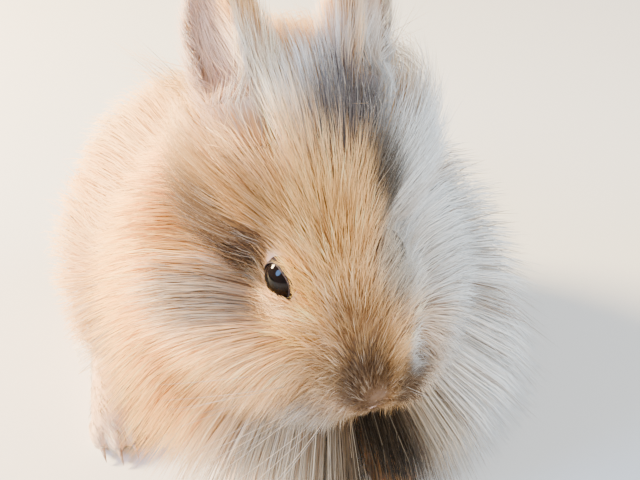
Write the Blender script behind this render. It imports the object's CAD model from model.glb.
"""The looks of the lionhead rabbit: skin, eyes, claws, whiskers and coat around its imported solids.

Metres, +Z up. The rabbit looks along -Y and its left side is at +X. The floor is z = 0.
"""

import math

import bmesh
import bpy
import numpy as np
from bpy.props import FloatProperty, FloatVectorProperty, IntProperty, PointerProperty
from mathutils import Matrix, Vector
from mathutils.bvhtree import BVHTree
from mathutils.kdtree import KDTree


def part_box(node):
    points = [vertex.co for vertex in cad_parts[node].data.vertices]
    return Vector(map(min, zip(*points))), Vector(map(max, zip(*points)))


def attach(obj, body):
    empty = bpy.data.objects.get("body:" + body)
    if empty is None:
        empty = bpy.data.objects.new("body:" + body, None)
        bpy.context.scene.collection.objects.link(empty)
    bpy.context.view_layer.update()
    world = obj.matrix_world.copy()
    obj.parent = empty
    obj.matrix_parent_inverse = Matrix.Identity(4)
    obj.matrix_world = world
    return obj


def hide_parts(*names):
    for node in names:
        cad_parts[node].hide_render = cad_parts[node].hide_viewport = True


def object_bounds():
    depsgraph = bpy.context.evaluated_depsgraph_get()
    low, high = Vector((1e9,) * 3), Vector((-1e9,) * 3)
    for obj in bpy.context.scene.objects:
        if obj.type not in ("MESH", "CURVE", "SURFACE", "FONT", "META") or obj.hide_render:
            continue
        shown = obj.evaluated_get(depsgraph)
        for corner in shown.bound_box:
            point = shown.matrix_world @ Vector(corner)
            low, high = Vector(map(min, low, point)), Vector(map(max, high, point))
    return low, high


bl_info = {
    "name": "Lionhead rabbit",
    "version": (1, 0, 0),
    "blender": (4, 5, 0),
    "location": "3D View > Sidebar > Rabbit",
    "description": "Skin, eyes, claws, whiskers and coat of a life-size lionhead rabbit",
    "category": "Object",
}

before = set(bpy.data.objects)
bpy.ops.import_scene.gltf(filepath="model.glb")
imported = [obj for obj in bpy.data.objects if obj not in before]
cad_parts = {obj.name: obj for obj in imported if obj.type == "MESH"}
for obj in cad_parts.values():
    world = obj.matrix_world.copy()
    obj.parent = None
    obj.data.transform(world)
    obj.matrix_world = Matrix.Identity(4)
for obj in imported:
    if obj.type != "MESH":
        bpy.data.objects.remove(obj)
CAD_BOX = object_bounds()
BODY = "root"
FLESH_NODES = (
    "head",
    "neck",
    "torso",
    "tail",
    "ear_left",
    "ear_right",
    "foreleg_left",
    "foreleg_right",
    "hindleg_left",
    "hindleg_right",
)
SIDES = {"left": 1.0, "right": -1.0}
X_AXIS = Vector((1.0, 0.0, 0.0))
TAU = math.tau

# Pose, in the rabbit's own frame
HEAD_CENTRE = Vector((0.0, -0.070, 0.110))
HEAD_PITCH = math.radians(36)
HEAD_TILT = math.radians(7)
HEAD_YAW = math.radians(-4)
NECK_CENTRE = Vector((0.0, -0.042, 0.104))
NECK_RISE = math.radians(41)

# Head in its own frame, nose at -Y and crown at +Z: y, z, half width, half height, coat depth
HEAD_ROWS = (
    (-0.0485, -0.0080, 0.0035, 0.0030, 0.0010),
    (-0.0460, -0.0080, 0.0090, 0.0075, 0.0020),
    (-0.0380, -0.0080, 0.0138, 0.0120, 0.0040),
    (-0.0280, -0.0070, 0.0164, 0.0155, 0.0070),
    (-0.0160, -0.0050, 0.0177, 0.0185, 0.0095),
    (-0.0040, -0.0035, 0.0192, 0.0215, 0.0130),
    (0.0100, -0.0020, 0.0212, 0.0240, 0.0180),
    (0.0240, -0.0010, 0.0215, 0.0245, 0.0240),
    (0.0360, -0.0020, 0.0180, 0.0210, 0.0260),
    (0.0440, -0.0040, 0.0080, 0.0100, 0.0260),
)

# Pads, chin, nostrils and the slit of the mouth, in the head's frame
PAD_PLACE = Vector((0.0078, -0.0395, -0.0125))
PAD_SIZE = (0.0088, 0.0080, 0.0070)
CHIN_PLACE = Vector((0.0, -0.0345, -0.0205))
CHIN_SIZE = (0.0075, 0.0085, 0.0052)
NOSTRIL_PLACE = Vector((0.0032, -0.0487, -0.0055))
NOSTRIL_SIZE = (0.0019, 0.0022, 0.0009)
NOSTRIL_TURN = math.radians(35)
MOUTH_PLACE = Vector((0.0, -0.0330, -0.0165))
MOUTH_RADIUS = 0.0125
MOUTH_THICKNESS = 0.0006
MOUTH_STEPS = 48

# The tip of the nose, and the spot of the lip that is bare from its middle to its edge
NOSE_TIP = np.array((0.0, -0.0485, -0.0075))
LIP_SPOT = np.array((0.0, -0.0480, -0.0088))
LIP_BARE = (0.0012, 0.0028)

# Eyes, along each eye's own axis
EYE_PLACE = Vector((0.0134, -0.0085, 0.0040))
EYE_AXIS = Vector((0.93, -0.30, 0.18)).normalized()
SOCKET_REACH = 0.0112
SOCKET_RADIUS = 0.0094

# Ears in the head's frame: share of the length, half width, half depth
EAR_ROOT = Vector((0.0145, 0.0260, 0.0180))
EAR_AXIS = Vector((0.0, 0.856, 0.429))
EAR_SPLAY = {1.0: 0.24, -1.0: 0.04}
EAR_MOUTH = Vector((0.80, -0.10, 0.60)).normalized()
EAR_LENGTH = 0.055
EAR_ROWS = (
    (0.00, 0.0080, 0.0080),
    (0.15, 0.0095, 0.0080),
    (0.35, 0.0120, 0.0075),
    (0.55, 0.0125, 0.0065),
    (0.75, 0.0105, 0.0055),
    (0.90, 0.0065, 0.0040),
    (1.00, 0.0020, 0.0020),
)

# Rings of an ear, how deep its skin lies under the fur, and its wall at the cup
EAR_RINGS = 33
EAR_INSET = 0.0004
EAR_WALL = 0.0026

# The ear's cup: where it starts and ends along the ear, and its move out as a share of the half depth
EAR_CUP = (0.24, 0.92)
EAR_CUP_SHIFT = 0.35

# The bare skin in it: shares of the ear's length, reach from its axis, edge of the cup, and how bare it is
CUP_SHARES = (0.2, 1.0)
CUP_RADIUS = 0.014
CUP_EDGE = (-0.006, -0.003)
CUP_BARE = 0.3

# Torso: y, z, half width, half height
TORSO_ROWS = (
    (-0.052, 0.068, 0.012, 0.014),
    (-0.046, 0.068, 0.024, 0.027),
    (-0.032, 0.067, 0.033, 0.037),
    (-0.008, 0.064, 0.038, 0.041),
    (0.020, 0.061, 0.042, 0.044),
    (0.048, 0.059, 0.045, 0.046),
    (0.072, 0.056, 0.042, 0.043),
    (0.090, 0.051, 0.031, 0.033),
    (0.100, 0.046, 0.014, 0.016),
)
TORSO_COAT = 0.0135

# Neck's flesh, and the outlines of mane and cheek ruff about its axis: reach, shift and drop
NECK_SIZE = (0.031, 0.033)
NECK_DROP = 0.004
NECK_TAPER = 0.35
NECK_RINGS = (-0.050, -0.036, -0.018, 0.000, 0.014)
MANE_OUTLINE = ((0.082, 0.082), 0.010, 0.025)
RUFF_OUTLINE = ((0.064, 0.057), 0.002, 0.012)

# Hind legs
THIGH_PLACE = Vector((0.0390, 0.0490, 0.0400))
THIGH_SIZE = (0.0220, 0.0400, 0.0330)
THIGH_TURN = math.radians(14)
THIGH_COAT = 0.0105
FOOT_ROWS = (
    (0.0460, 0.0780, 0.0100, 0.0060, 0.0060),
    (0.0475, 0.0720, 0.0095, 0.0085, 0.0100),
    (0.0520, 0.0500, 0.0090, 0.0090, 0.0105),
    (0.0570, 0.0250, 0.0085, 0.0095, 0.0100),
    (0.0605, 0.0060, 0.0075, 0.0105, 0.0090),
    (0.0615, -0.0020, 0.0065, 0.0090, 0.0075),
    (0.0620, -0.0060, 0.0060, 0.0050, 0.0045),
)

# How deep the skin of legs and feet lies under their fur
SHORT_FUR_DEPTH = 0.0011

# Toes, pressed on the floor a little, and their claws: root as shares of a toe's half length and height,
# rings, bend, radius at the root, and how much and with which power it tapers
TOE_SIZE = (0.0038, 0.0085, 0.0050)
TOE_PRESSED = 0.0004
HIND_TOES = ((0.0530, 0.0000), (0.0580, -0.0055), (0.0640, -0.0065), (0.0695, -0.0020))
FORE_TOES = ((0.0180, -0.0660), (0.0228, -0.0700), (0.0280, -0.0680))
CLAW_ROOT = (0.55, 0.85)
CLAW_RINGS = 7
CLAW_BEND = math.radians(55)
CLAW_RADIUS = 0.0011
CLAW_TAPER = 0.93
CLAW_POWER = 1.4

# Fore legs
FORELEG_ROWS = (
    (0.0230, -0.0200, 0.0640, 0.0100, 0.0100),
    (0.0260, -0.0210, 0.0520, 0.0135, 0.0140),
    (0.0280, -0.0260, 0.0380, 0.0130, 0.0140),
    (0.0265, -0.0370, 0.0220, 0.0105, 0.0110),
    (0.0250, -0.0460, 0.0120, 0.0095, 0.0100),
    (0.0240, -0.0560, 0.0080, 0.0095, 0.0095),
    (0.0238, -0.0650, 0.0065, 0.0080, 0.0075),
    (0.0236, -0.0700, 0.0055, 0.0045, 0.0045),
)

# Tail
TAIL_PLACE = Vector((0.0, 0.1080, 0.0480))
TAIL_SIZE = (0.0100, 0.0080, 0.0140)
TAIL_TURN = math.radians(-20)
TAIL_COAT = 0.0080

# Shares of a hair's length at which its rings lie, for long, middle and short hair. The last is the tip
LONG_STATIONS = np.array((0.0, 0.36, 0.70, 1.0))
MIDDLE_STATIONS = np.array((0.0, 0.34, 0.70, 1.0))
SHORT_STATIONS = np.array((0.0, 0.50, 1.0))

# A hair's thickness: the power of its taper, its share at the root, its swell towards the tip, and the
# spread from hair to hair. Long fine hair is wider than short fine hair. Roots sink a little into the skin
TAPER_POWER = 0.65
ROOT_SHARE = 0.80
SWELL = 0.6
WIDTH_SPREAD = (0.7, 1.25)
LONG_FINE_WIDTH = 1.2
ROOT_DEPTH = 0.0003

# How hairs draw to their tuft's leader and are ruffled, and the least cosine between stretches of a hair
PULL_SPREAD = (0.3, 1.3)
PULL_POWER = 1.2
MOST_PULL = 0.9
RUFFLE_POWER = 1.5
LEAST_COSINE = 0.0

# Side of a hair's patch on the unwrap, and the most triangles of a piece
PATCH = 0.003
PIECE_TRIANGLES = 190_000

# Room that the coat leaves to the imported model's box and to the floor, and the layer of hair on the floor
BOX_MARGIN = 0.0006
FLOOR_CLEAR = 0.0010
FLOOR_LAYER = 0.003

# Lengths below this count as none
TINY = 1e-6

# The cornea's bulge: the share of the radius where it starts, and its rise
CORNEA_START = 0.62
CORNEA_RISE = 0.35

# Lids: half lengths of the eye's opening, the pinch of its corners, and the rim's profile, as steps outward
# and lifts off the eyeball
LID_OPENING = (0.0066, 0.0056)
LID_PINCH = 0.10
LID_PROFILE = ((0.0, 0.0001), (0.0, 0.0006), (0.0003, 0.0007), (0.0006, 0.0004), (0.0010, -0.0014))

# Distances from an eye's middle: no roots within the first, where bare skin ends, and where the coat reaches
# its full height, from the given share of it
EYE_BARE = 0.0064
EYE_RIM = (0.0071, 0.0079)
EYE_FUR = (0.0068, 0.0135)
RIM_HEIGHT = 0.10

# Cone of view in front of each eye that the coat leaves free. A hair that comes nearer to its axis than
# these shares of its radius, at its rings or between them, is left out
EYE_SIGHT = {
    1.0: Vector((0.96, -0.14, 0.24)).normalized(),
    -1.0: Vector((0.64, -0.34, 0.69)).normalized(),
}
SIGHT_RADIUS = 0.0042
SIGHT_START = 0.0045
SIGHT_GROWTH = 0.36
SIGHT_AT_RINGS = 0.6
SIGHT_BETWEEN = 0.85
BETWEEN_RINGS = (0.25, 0.5, 0.75)

# Long hair in front and back rows: start and end along the neck, share of the outline, drop of the place
# that it leaves, drop of its roots, half width and half height of the roots, and the angles that stay open
# at the nape and at the throat
CHEEK_FAN = (
    (0.0330, 0.0180, 0.70, 0.0420, 0.0320, 0.0130, 0.0250, math.radians(80), math.radians(20)),
    (0.0220, 0.0060, 0.92, 0.0380, 0.0260, 0.0180, 0.0270, math.radians(62), math.radians(14)),
)
RUFF_FAN = (
    (0.0220, 0.0040, 0.92, 0.0360, 0.0200, 0.0200, 0.0260, math.radians(60), math.radians(14)),
    (0.0100, -0.0080, 1.00, 0.0300, 0.0100, 0.0240, 0.0260, math.radians(44), math.radians(10)),
)
MANE_FAN = (
    (0.0100, -0.0100, 0.92, 0.0260, 0.0080, 0.0290, 0.0300, 0.0, math.radians(12)),
    (-0.0140, -0.0480, 1.00, 0.0180, 0.0040, 0.0290, 0.0310, 0.0, 0.0),
)
THROAT_TURN = math.radians(10)

# Along a fanned hair, the powers with which it sweeps round, reaches out and leans back, and its last lean
SWEEP_POWER = 1.6
REACH_POWER = 0.8
BACK_POWER = 1.7
FAN_LEAN = 0.9

# Sweep of the fanned hairs towards the throat: its mean, its waves round the neck, and its scatter
FAN_SWEEP = 0.13
FAN_SWING = 0.05
FAN_WAVES = 7
FAN_SCATTER = 0.025

# The cheeks stand fuller about an angle, in degrees from the nape. Hairs end at uneven shares of the reach
FULL_CHEEK = 0.10
CHEEK_ANGLE = 125
CHEEK_SPREAD = 30
LONGEST_REACH = 1.02
REACH_SPREAD = 0.34
FAN_ROOTS = (0.85, 1.0)

# How much of its own roundness a hair shows. The rest of its shade is that of the coat that it lies in
OWN_SHADE = 0.42

# Spread of the tints of tufts and of the hairs in a tuft, and how much calmer it is behind the brow
TUFT_TINT = 0.75
OWN_TINT = 0.75
CALM = 0.5
CALM_START = (0.008, 0.030)

# The frame's width in pixels and the camera's in millimetres
CAMERA_PIXELS = 640
SENSOR_WIDTH = 36.0


def length_property(name, description, default):
    return FloatProperty(name=name, description=description, default=default, unit="LENGTH")


def angle_property(name, description, default):
    return FloatProperty(name=name, description=description, default=default, subtype="ANGLE")


def count_property(name, description, default):
    return IntProperty(name=name, description=description, default=default, min=0)


def colour_property(name, description, default):
    return FloatVectorProperty(
        name=name, description=description, default=default, subtype="COLOR", min=0.0, max=1.0
    )


class RabbitSizes(bpy.types.PropertyGroup):
    """Sizes of the skin and of what sits in it."""

    voxel: length_property("Skin grain", "Cell of the skin's mesh", 0.0013)
    eye_radius: length_property("Eye radius", "Of the eyeball", 0.0072)
    lid_thickness: length_property("Lid thickness", "Of the bare rim round the eye", 0.0004)
    whisker_length: length_property("Whisker length", "Of the longest whiskers", 0.056)
    whisker_width: length_property("Whisker width", "At a whisker's root", 0.00018)
    claw_length: length_property("Claw length", "Of each claw", 0.0075)


class RabbitCoat(bpy.types.PropertyGroup):
    """How many hairs each part of the coat has, how wide they are, and how they gather."""

    muzzle_hairs: count_property("Muzzle hairs", "Short hairs of nose and cheeks", 15000)
    pad_hairs: count_property("Pad hairs", "Hairs from the muzzle over the cheeks", 9000)
    crown_hairs: count_property("Crown hairs", "Hairs of forehead and crown", 19500)
    cheek_hairs: count_property("Cheek hairs", "Hairs that spread from the muzzle", 12000)
    ruff_hairs: count_property("Ruff hairs", "Long hairs of the cheeks", 12000)
    mane_hairs: count_property("Mane hairs", "Long hairs of the neck", 17000)
    back_hairs: count_property("Back hairs", "Hairs of back, flanks and belly", 13500)
    thigh_hairs: count_property("Thigh hairs", "Hairs of both thighs", 6000)
    leg_hairs: count_property("Leg hairs", "Short hairs of legs and feet", 8000)
    tail_hairs: count_property("Tail hairs", "Hairs of the tail", 2500)
    ear_hairs: count_property("Ear hairs", "Hairs of both ears", 10000)
    fine_width: length_property("Fine width", "Half width of a short hair", 0.00011)
    long_width: length_property("Long width", "Half width of a long hair", 0.00019)
    gather: FloatProperty(
        name="Gather", description="How far hairs draw together", default=0.24, min=0.0, max=1.0
    )
    seed: IntProperty(name="Seed", description="Of every random draw", default=41)


class RabbitColours(bpy.types.PropertyGroup):
    """Colours of coat, skin, eyes and claws."""

    cream: colour_property("Cream", "Most of the coat", (0.90, 0.570, 0.285))
    fawn: colour_property("Fawn", "Forehead", (0.80, 0.43, 0.125))
    tan: colour_property("Tan", "Bridge of the nose", (0.25, 0.140, 0.050))
    brown: colour_property("Brown", "Parting behind the eye", (0.070, 0.040, 0.022))
    apricot: colour_property("Apricot", "Beside the eye", (1.0, 0.50, 0.12))
    smoke: colour_property("Smoke", "Grey patches", (0.058, 0.058, 0.070))
    silver: colour_property("Silver", "Left side of the mane", (0.76, 0.79, 0.80))
    ash: colour_property("Ash", "Left side of the face", (0.34, 0.31, 0.26))
    shade: colour_property("Shade", "Parting under the mouth", (0.026, 0.020, 0.014))
    pale: colour_property("Pale", "Feet, tail and ears", (0.93, 0.80, 0.66))
    peach: colour_property("Peach", "Right side of the mane", (0.90, 0.47, 0.13))
    umber: colour_property("Umber", "Dark patch of the forehead", (0.060, 0.050, 0.040))
    rose: colour_property("Rose", "Ears", (0.60, 0.44, 0.38))
    skin: colour_property("Skin", "Bare skin", (0.55, 0.36, 0.33))
    iris: colour_property("Iris", "Round the pupil", (0.008, 0.005, 0.004))
    claw: colour_property("Claw", "Horn of the claws", (0.50, 0.38, 0.28))


class RabbitStage(bpy.types.PropertyGroup):
    """Camera, floor and lights."""

    camera_place: FloatVectorProperty(
        name="Camera", description="Where the camera stands", subtype="TRANSLATION", unit="LENGTH",
        default=(-0.0902, -0.2867, 0.2563),
    )
    camera_heading: angle_property("Heading", "Turn from +Y to +X", math.radians(22.2))
    camera_dip: angle_property("Dip", "How far it looks down", math.radians(31.8))
    camera_roll: angle_property("Roll", "About its view", math.radians(-2.9))
    focal_pixels: FloatProperty(name="Focal length", description="In pixels of the frame", default=950.0)
    floor_radius: length_property("Floor radius", "Of the round floor", 2.4)
    floor_colour: colour_property("Floor colour", "Of the floor", (0.80, 0.79, 0.77))
    sun_colour: colour_property("Sun colour", "Of the warm light behind", (1.0, 0.75, 0.41))
    sky_colour: colour_property("Sky colour", "Of the cool light on the left", (0.70, 0.85, 1.0))
    front_colour: colour_property("Front colour", "Of the soft light before the face", (1.0, 0.87, 0.70))
    window_colour: colour_property("Window colour", "Of the light in the right eye", (0.25, 0.50, 1.0))


class RabbitSettings(bpy.types.PropertyGroup):
    """All that a user can change."""

    sizes: PointerProperty(type=RabbitSizes)
    coat: PointerProperty(type=RabbitCoat)
    colours: PointerProperty(type=RabbitColours)
    stage: PointerProperty(type=RabbitStage)


def settings():
    return bpy.context.scene.lionhead_rabbit


# Frames of the body's parts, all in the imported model's frame


def box_centre(node):
    low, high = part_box(node)
    return (low + high) / 2


def head_turn():
    tilted = Matrix.Rotation(HEAD_PITCH, 4, "X") @ Matrix.Rotation(-HEAD_TILT, 4, "Y")
    return tilted @ Matrix.Rotation(HEAD_YAW, 4, "Z")


def home_shift():
    """The move from the rabbit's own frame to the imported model's, read from where the eyes are."""
    packed = (box_centre("eye_left") + box_centre("eye_right")) / 2
    own = HEAD_CENTRE + head_turn() @ Vector((0.0, EYE_PLACE.y, EYE_PLACE.z))
    return Vector((packed.x - own.x, packed.y - own.y, 0.0))


HOME = home_shift()


def head_frame():
    return Matrix.Translation(HOME + HEAD_CENTRE) @ head_turn()


def neck_frame():
    """Z runs up the neck to the head, X to the rabbit's left and Y to the nape."""
    along = Vector((0.0, -math.cos(NECK_RISE), math.sin(NECK_RISE)))
    turn = Matrix((X_AXIS, along.cross(X_AXIS), along)).transposed().to_4x4()
    return Matrix.Translation(HOME + NECK_CENTRE) @ turn


def mirrored(point, side):
    return Vector((side * point.x, point.y, point.z))


def eye_frame(side):
    """Z looks out of the eye, and Y lies along its opening."""
    turn = mirrored(EYE_AXIS, side).to_track_quat("Z", "Y").to_matrix().to_4x4()
    return head_frame() @ Matrix.Translation(mirrored(EYE_PLACE, side)) @ turn


def thigh_frame(side):
    place = HOME + mirrored(THIGH_PLACE, side)
    return Matrix.Translation(place) @ Matrix.Rotation(THIGH_TURN, 4, "X")


def tail_frame():
    return Matrix.Translation(HOME + TAIL_PLACE) @ Matrix.Rotation(TAIL_TURN, 4, "X")


def ear_axis(side):
    return (EAR_AXIS + Vector((side * EAR_SPLAY[side], 0.0, 0.0))).normalized()


# Modelling


def object_from(builder, name):
    mesh = bpy.data.meshes.new(name)
    bmesh.ops.recalc_face_normals(builder, faces=builder.faces)
    builder.to_mesh(mesh)
    builder.free()
    mesh.shade_smooth()
    made = bpy.data.objects.new(name, mesh)
    bpy.context.scene.collection.objects.link(made)
    return made


def dress(thing, material, slot, *replaced):
    """Gives a finished piece its material, its body, its slot and the nodes that it stands for."""
    thing.data.materials.clear()
    thing.data.materials.append(material)
    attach(thing, BODY)
    if replaced:
        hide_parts(*replaced)
    return thing


def apply_modifiers(thing):
    graph = bpy.context.evaluated_depsgraph_get()
    mesh = bpy.data.meshes.new_from_object(thing.evaluated_get(graph))
    thing.modifiers.clear()
    thing.data = mesh


def boolean(thing, operation, other):
    """Joins or cuts with another object, applies it, and removes the other."""
    modifier = thing.modifiers.new(operation.title(), "BOOLEAN")
    modifier.operation = operation
    modifier.solver = "MANIFOLD"
    modifier.object = other
    bpy.context.view_layer.update()
    apply_modifiers(thing)
    bpy.data.objects.remove(other, do_unlink=True)


def smooth_rows(rows, count):
    """Rows read from a Catmull-Rom curve through the given ones."""
    last = len(rows) - 1
    found = []
    for step in range(count):
        place = step * last / (count - 1)
        i = min(int(place), last - 1)
        t = place - i
        near = (rows[max(i - 1, 0)], rows[i], rows[i + 1], rows[min(i + 2, last)])
        found.append(
            tuple(
                q + 0.5 * t * (r - p + t * (2 * p - 5 * q + 4 * r - s + t * (3 * (q - r) + s - p)))
                for p, q, r, s in zip(*near)
            )
        )
    return found


def loft(builder, centres, half_widths, half_heights, sides=32, side=X_AXIS):
    """A closed tube through ellipses, each square to the line of centres."""
    loops = []
    last = len(centres) - 1
    for i, centre in enumerate(centres):
        along = (centres[min(i + 1, last)] - centres[max(i - 1, 0)]).normalized()
        across = (side - side.dot(along) * along).normalized()
        turn = Matrix((across, along.cross(across), along)).transposed().to_4x4()
        size = Matrix.Diagonal((half_widths[i], half_heights[i], 1.0, 1.0))
        place = Matrix.Translation(centre) @ turn @ size
        ring = bmesh.ops.create_circle(builder, segments=sides, radius=1.0, matrix=place)["verts"]
        loops.append(ring_edges(ring))
    for low, high in zip(loops, loops[1:]):
        bmesh.ops.bridge_loops(builder, edges=low + high)
    for loop in (loops[0], loops[-1]):
        bmesh.ops.contextual_create(builder, geom=loop)


def ring_edges(ring):
    """The edges of a ring of vertices, in the same order each run."""
    return list(dict.fromkeys(edge for vertex in ring for edge in vertex.link_edges))


def ball(builder, place, size, segments=28, rings=18):
    """An ellipsoid of three half sizes: circles between two poles, whose faces are alike in each run."""
    matrix = place @ Matrix.Diagonal((*size, 1.0))
    loops = []
    for step in range(1, rings):
        angle = math.pi * step / rings
        flat = matrix @ Matrix.Translation((0.0, 0.0, -math.cos(angle)))
        ring = bmesh.ops.create_circle(builder, segments=segments, radius=math.sin(angle), matrix=flat)["verts"]
        loops.append(ring_edges(ring))
    for low, high in zip(loops, loops[1:]):
        bmesh.ops.bridge_loops(builder, edges=low + high)
    for pole, loop in ((-1.0, loops[0]), (1.0, loops[-1])):
        cap = bmesh.ops.contextual_create(builder, geom=loop)["faces"]
        tip = bmesh.ops.poke(builder, faces=cap)["verts"][0]
        tip.co = matrix @ Vector((0.0, 0.0, pole))


def head_shape(builder):
    rows = smooth_rows([row[:4] for row in HEAD_ROWS], 36)
    start = len(builder.verts)
    centres = [Vector((0.0, y, z)) for y, z, w, h in rows]
    loft(builder, centres, [row[2] for row in rows], [row[3] for row in rows], sides=40)
    ball(builder, Matrix.Translation(CHIN_PLACE), CHIN_SIZE)
    for side in SIDES.values():
        ball(builder, Matrix.Translation(mirrored(PAD_PLACE, side)), PAD_SIZE)
    builder.verts.ensure_lookup_table()
    bmesh.ops.transform(builder, matrix=head_frame(), verts=builder.verts[start:])


def neck_shape(builder):
    middle = 0.5 * (NECK_RINGS[0] + NECK_RINGS[-1])
    span = NECK_RINGS[-1] - NECK_RINGS[0]
    swell = [1 - NECK_TAPER * ((along - middle) / span * 2) ** 4 for along in NECK_RINGS]
    centres = [neck_frame() @ Vector((0.0, -NECK_DROP, along)) for along in NECK_RINGS]
    loft(builder, centres, [NECK_SIZE[0] * s for s in swell], [NECK_SIZE[1] * s for s in swell])


def torso_shape(builder):
    rows = smooth_rows(TORSO_ROWS, 30)
    centres = [HOME + Vector((0.0, y, z)) for y, z, w, h in rows]
    loft(builder, centres, [row[2] for row in rows], [row[3] for row in rows], sides=44)


def thigh_shape(builder, side):
    ball(builder, thigh_frame(side), THIGH_SIZE)


def limb(builder, rows, toes, side):
    """A leg or foot with its toes, inside the solid one by the depth of its short fur."""
    inset = SHORT_FUR_DEPTH
    rows = smooth_rows(rows, 20)
    centres = [HOME + Vector((side * x, y, z)) for x, y, z, w, h in rows]
    loft(builder, centres, [row[3] - inset for row in rows], [row[4] - inset for row in rows], sides=20)
    for x, y in toes:
        place = Matrix.Translation(HOME + Vector((side * x, y + inset, TOE_SIZE[2] - TOE_PRESSED)))
        ball(builder, place, [size - 0.5 * inset for size in TOE_SIZE], segments=14, rings=10)


def tail_shape(builder):
    ball(builder, tail_frame(), TAIL_SIZE)


def ear_rings(side, low, high, thinner=0.0):
    """Centres, half widths and half depths of an ear between two shares of its length."""
    rows = [row for row in smooth_rows(EAR_ROWS, EAR_RINGS) if low <= row[0] <= high]
    root = mirrored(EAR_ROOT, side)
    centres = [head_frame() @ (root + ear_axis(side) * EAR_LENGTH * share) for share, w, d in rows]
    return centres, [w - thinner for share, w, d in rows], [d - thinner for share, w, d in rows]


def ear_directions(side):
    """Along an ear to its tip, across it, and out of its cup."""
    turn = head_frame().to_3x3()
    mouth = turn @ mirrored(EAR_MOUTH, side)
    axis = turn @ ear_axis(side)
    return axis, axis.cross(mouth).normalized(), (mouth - mouth.dot(axis) * axis).normalized()


def ear_outside(builder, side):
    axis, across, out = ear_directions(side)
    loft(builder, *ear_rings(side, 0.0, 1.0, thinner=EAR_INSET), sides=28, side=across)


def ear_cup(builder, side):
    """The form that hollows an ear, moved out of its back by the ear's wall."""
    axis, across, out = ear_directions(side)
    centres, widths, depths = ear_rings(side, *EAR_CUP)
    centres = [centre + out * (EAR_WALL + EAR_CUP_SHIFT * depth) for centre, depth in zip(centres, depths)]
    loft(builder, centres, [width - EAR_WALL for width in widths], depths, sides=28, side=across)


def ear_shape(side):
    """An ear with its cup hollowed towards its mouth."""
    whole, cup = bmesh.new(), bmesh.new()
    ear_outside(whole, side)
    ear_cup(cup, side)
    ear = object_from(whole, "ear_shape")
    boolean(ear, "DIFFERENCE", object_from(cup, "ear_cup"))
    return ear


def skin_object():
    """One skin: the body's shapes made one by a voxel mesh, with sockets, ears, nostrils and mouth."""
    builder = bmesh.new()
    head_shape(builder)
    neck_shape(builder)
    torso_shape(builder)
    tail_shape(builder)
    for side in SIDES.values():
        thigh_shape(builder, side)
        limb(builder, FOOT_ROWS, HIND_TOES, side)
        limb(builder, FORELEG_ROWS, FORE_TOES, side)
    skin = object_from(builder, "skin")
    remesh = skin.modifiers.new("Remesh", "REMESH")
    remesh.mode = "VOXEL"
    remesh.voxel_size = settings().sizes.voxel
    soften = skin.modifiers.new("Soften", "SMOOTH")
    soften.factor = 0.5
    soften.iterations = 5
    bpy.context.view_layer.update()
    apply_modifiers(skin)
    for side in SIDES.values():
        socket = bmesh.new()
        place = eye_frame(side) @ Matrix.Translation((0.0, 0.0, SOCKET_REACH))
        ball(socket, place, (SOCKET_RADIUS,) * 3, segments=32, rings=20)
        boolean(skin, "DIFFERENCE", object_from(socket, "socket"))
        boolean(skin, "UNION", ear_shape(side))
        nostril = bmesh.new()
        place = head_frame() @ Matrix.Translation(mirrored(NOSTRIL_PLACE, side))
        turned = place @ Matrix.Rotation(side * NOSTRIL_TURN, 4, "Y")
        ball(nostril, turned, NOSTRIL_SIZE, segments=16, rings=10)
        boolean(skin, "DIFFERENCE", object_from(nostril, "nostril"))
    boolean(skin, "DIFFERENCE", mouth_line())
    keep_above_floor(skin)
    return skin


def mouth_line():
    """The slit of the mouth, a thin ring that crosses the front of the muzzle."""
    builder = bmesh.new()
    start = Matrix.Translation((MOUTH_RADIUS, 0.0, 0.0)) @ Matrix.Rotation(math.pi / 2, 4, "X")
    loops = []
    for step in range(MOUTH_STEPS):
        place = Matrix.Rotation(TAU * step / MOUTH_STEPS, 4, "Z") @ start
        ring = bmesh.ops.create_circle(builder, segments=8, radius=MOUTH_THICKNESS, matrix=place)["verts"]
        loops.append(ring_edges(ring))
    for low, high in zip(loops, loops[1:] + loops[:1]):
        bmesh.ops.bridge_loops(builder, edges=low + high)
    place = head_frame() @ Matrix.Translation(MOUTH_PLACE)
    bmesh.ops.transform(builder, matrix=place, verts=builder.verts)
    return object_from(builder, "mouth_line")


def keep_above_floor(thing):
    """Flattens what would reach below the floor, as soft soles do."""
    for vertex in thing.data.vertices:
        vertex.co.z = max(vertex.co.z, 0.0)


# Hairs, as arrays of points


def affine(matrix, points):
    """Points, or rows of points, moved by a matrix."""
    values = np.array(matrix)
    return points @ values[:3, :3].T + values[:3, 3]


def in_head(points):
    """Points as the head's own frame has them."""
    return affine(head_frame().inverted(), points)


def from_eye(points, side):
    return np.linalg.norm(points - np.array(eye_frame(side).translation), axis=1)


def rotate(matrix, vectors):
    return vectors @ np.array(matrix)[:3, :3].T


def unit(vectors):
    return vectors / np.maximum(np.linalg.norm(vectors, axis=-1, keepdims=True), 1e-9)


def smoothstep(low, high, values):
    share = np.clip((values - low) / (high - low), 0.0, 1.0)
    return share * share * (3 - 2 * share)


def draws_for(name):
    """A seeded source of random numbers of each piece's own."""
    return np.random.default_rng([settings().coat.seed, *name.encode()])


def skin_tree():
    skin = bpy.data.objects["skin"].data
    points = [vertex.co for vertex in skin.vertices]
    return BVHTree.FromPolygons(points, [face.vertices for face in skin.polygons])


def nearest(tree, points):
    """Places, normals and distances of the skin under each point."""
    found = [tree.find_nearest(point) for point in points]
    places = np.array([hit[0][:] for hit in found])
    normals = np.array([hit[1][:] for hit in found])
    return places, normals, np.array([hit[3] for hit in found])


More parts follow.
